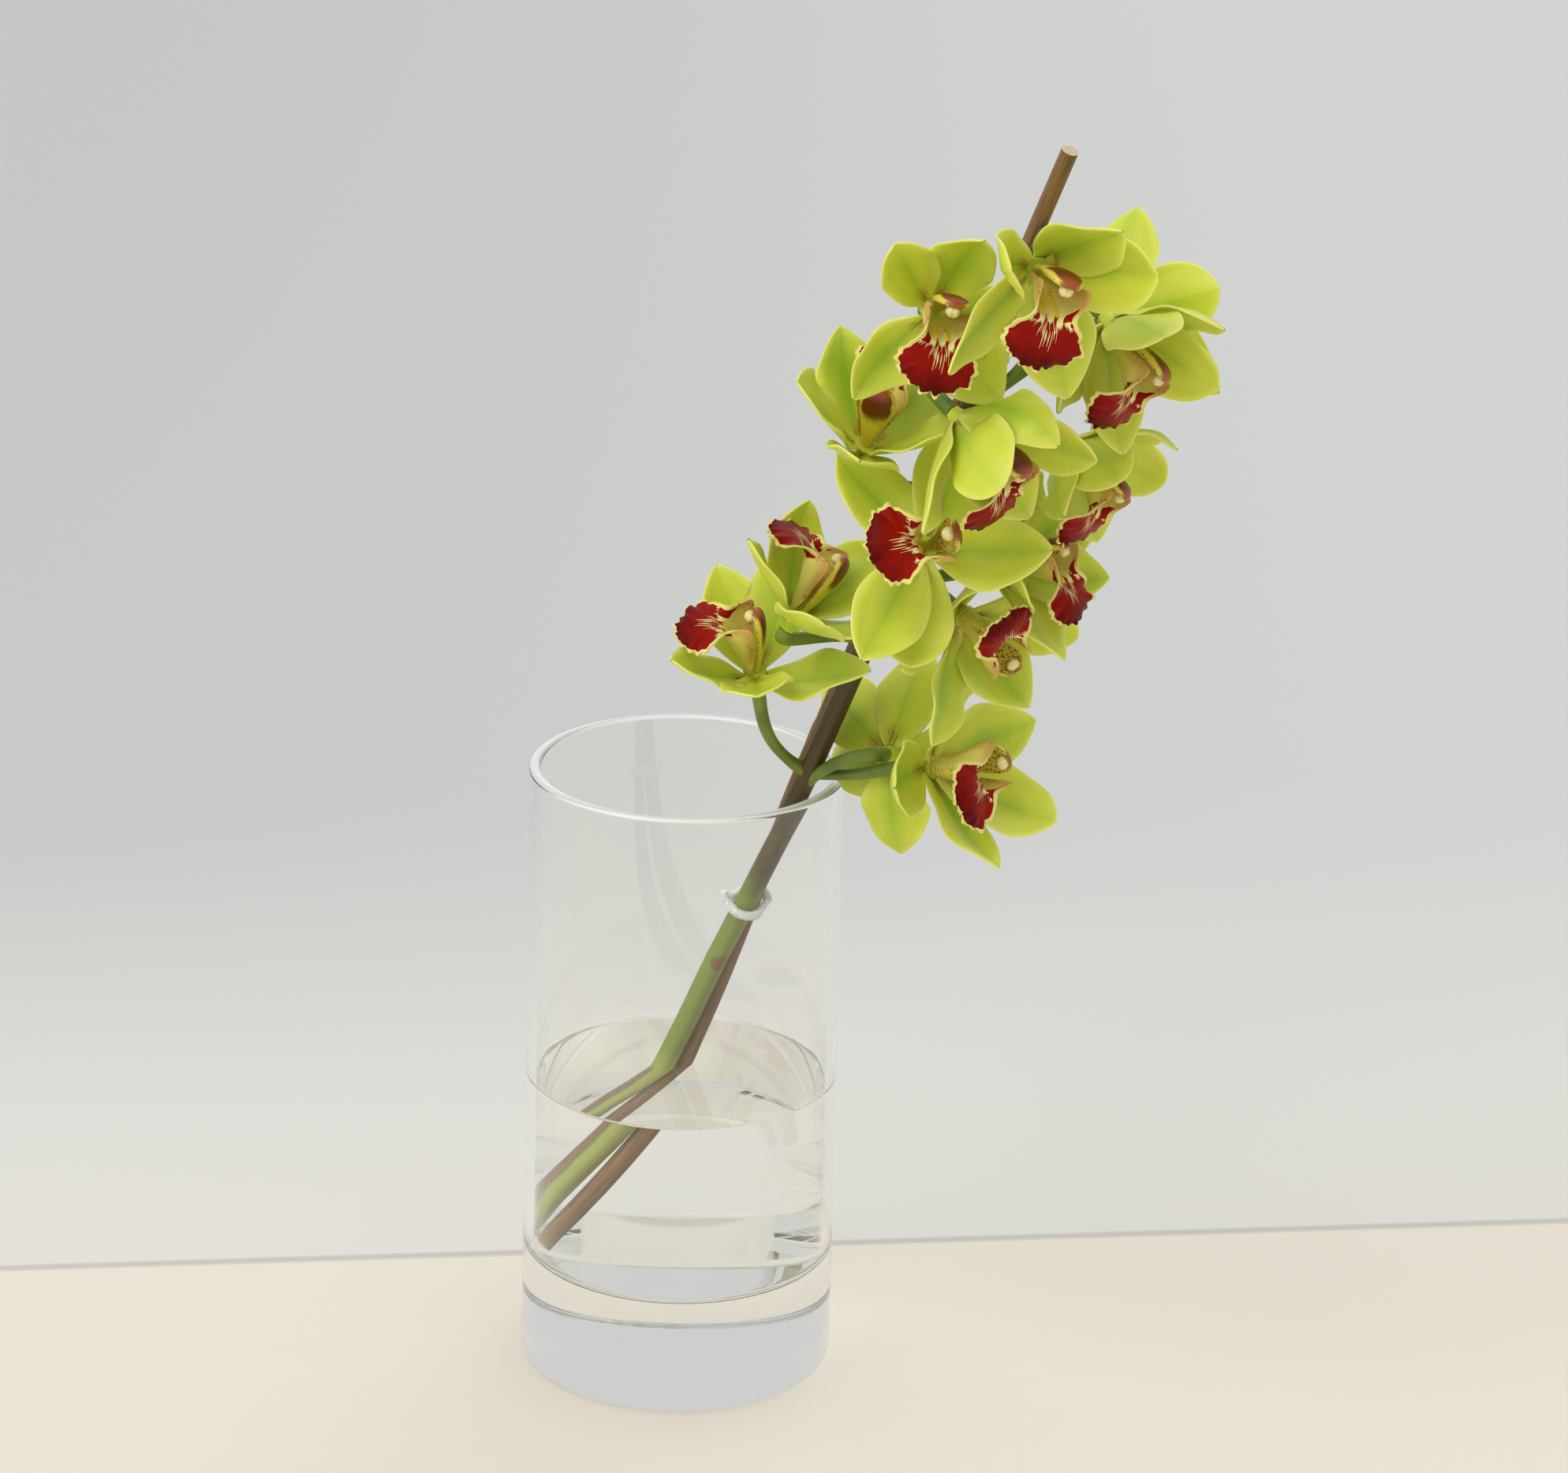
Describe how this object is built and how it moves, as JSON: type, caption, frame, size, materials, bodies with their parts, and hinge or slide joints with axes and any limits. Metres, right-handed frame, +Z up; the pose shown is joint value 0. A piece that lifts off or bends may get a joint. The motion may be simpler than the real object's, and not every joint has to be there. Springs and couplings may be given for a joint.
{
  "type": "cymbidium orchid spray in a glass vase",
  "caption": "Tall leaning spray of green orchid blooms with red lips, tied to a cane, in a clear round vase with water.",
  "frame": {"origin": "centre of the vase's underside", "axes": "+Z up, the vase's underside faces -Z, the blooms' front faces -Y and the spray leans to +X and -Y"},
  "size_m": [0.2992, 0.3193, 0.6266],
  "materials": {
    "glass": "clear polished glass",
    "water": "still clear water",
    "cane": "dry dark cane",
    "stem": "green and purple-brown living stem",
    "tie": "white fuzzy wire tie",
    "tepal": "waxy lime green petal",
    "lip": "deep red with a cream edge",
    "column": "olive yellow and brown, dotted"
  },
  "bodies": {
    "root": {"glass_vase": "glass", "water": "water", "cane": "cane", "flower_stem": "stem", "tie_lower": "tie", "tie_upper": "tie", "bloom_01_tepals": "tepal", "bloom_01_lip": "lip", "bloom_01_column": "column", "bloom_02_tepals": "tepal", "bloom_02_lip": "lip", "bloom_02_column": "column", "bloom_03_tepals": "tepal", "bloom_03_lip": "lip", "bloom_03_column": "column", "bloom_04_tepals": "tepal", "bloom_04_lip": "lip", "bloom_04_column": "column", "bloom_05_tepals": "tepal", "bloom_05_lip": "lip", "bloom_05_column": "column", "bloom_06_tepals": "tepal", "bloom_06_lip": "lip", "bloom_06_column": "column", "bloom_07_tepals": "tepal", "bloom_07_lip": "lip", "bloom_07_column": "column", "bloom_08_tepals": "tepal", "bloom_08_lip": "lip", "bloom_08_column": "column", "bloom_09_tepals": "tepal", "bloom_09_lip": "lip", "bloom_09_column": "column", "bloom_10_tepals": "tepal", "bloom_10_lip": "lip", "bloom_10_column": "column", "bloom_11_tepals": "tepal", "bloom_11_lip": "lip", "bloom_11_column": "column", "bloom_12_tepals": "tepal", "bloom_12_lip": "lip", "bloom_12_column": "column", "bloom_13_tepals": "tepal", "bloom_13_lip": "lip", "bloom_13_column": "column", "bloom_14_tepals": "tepal", "bloom_14_lip": "lip", "bloom_14_column": "column"}
  },
  "joints": []
}
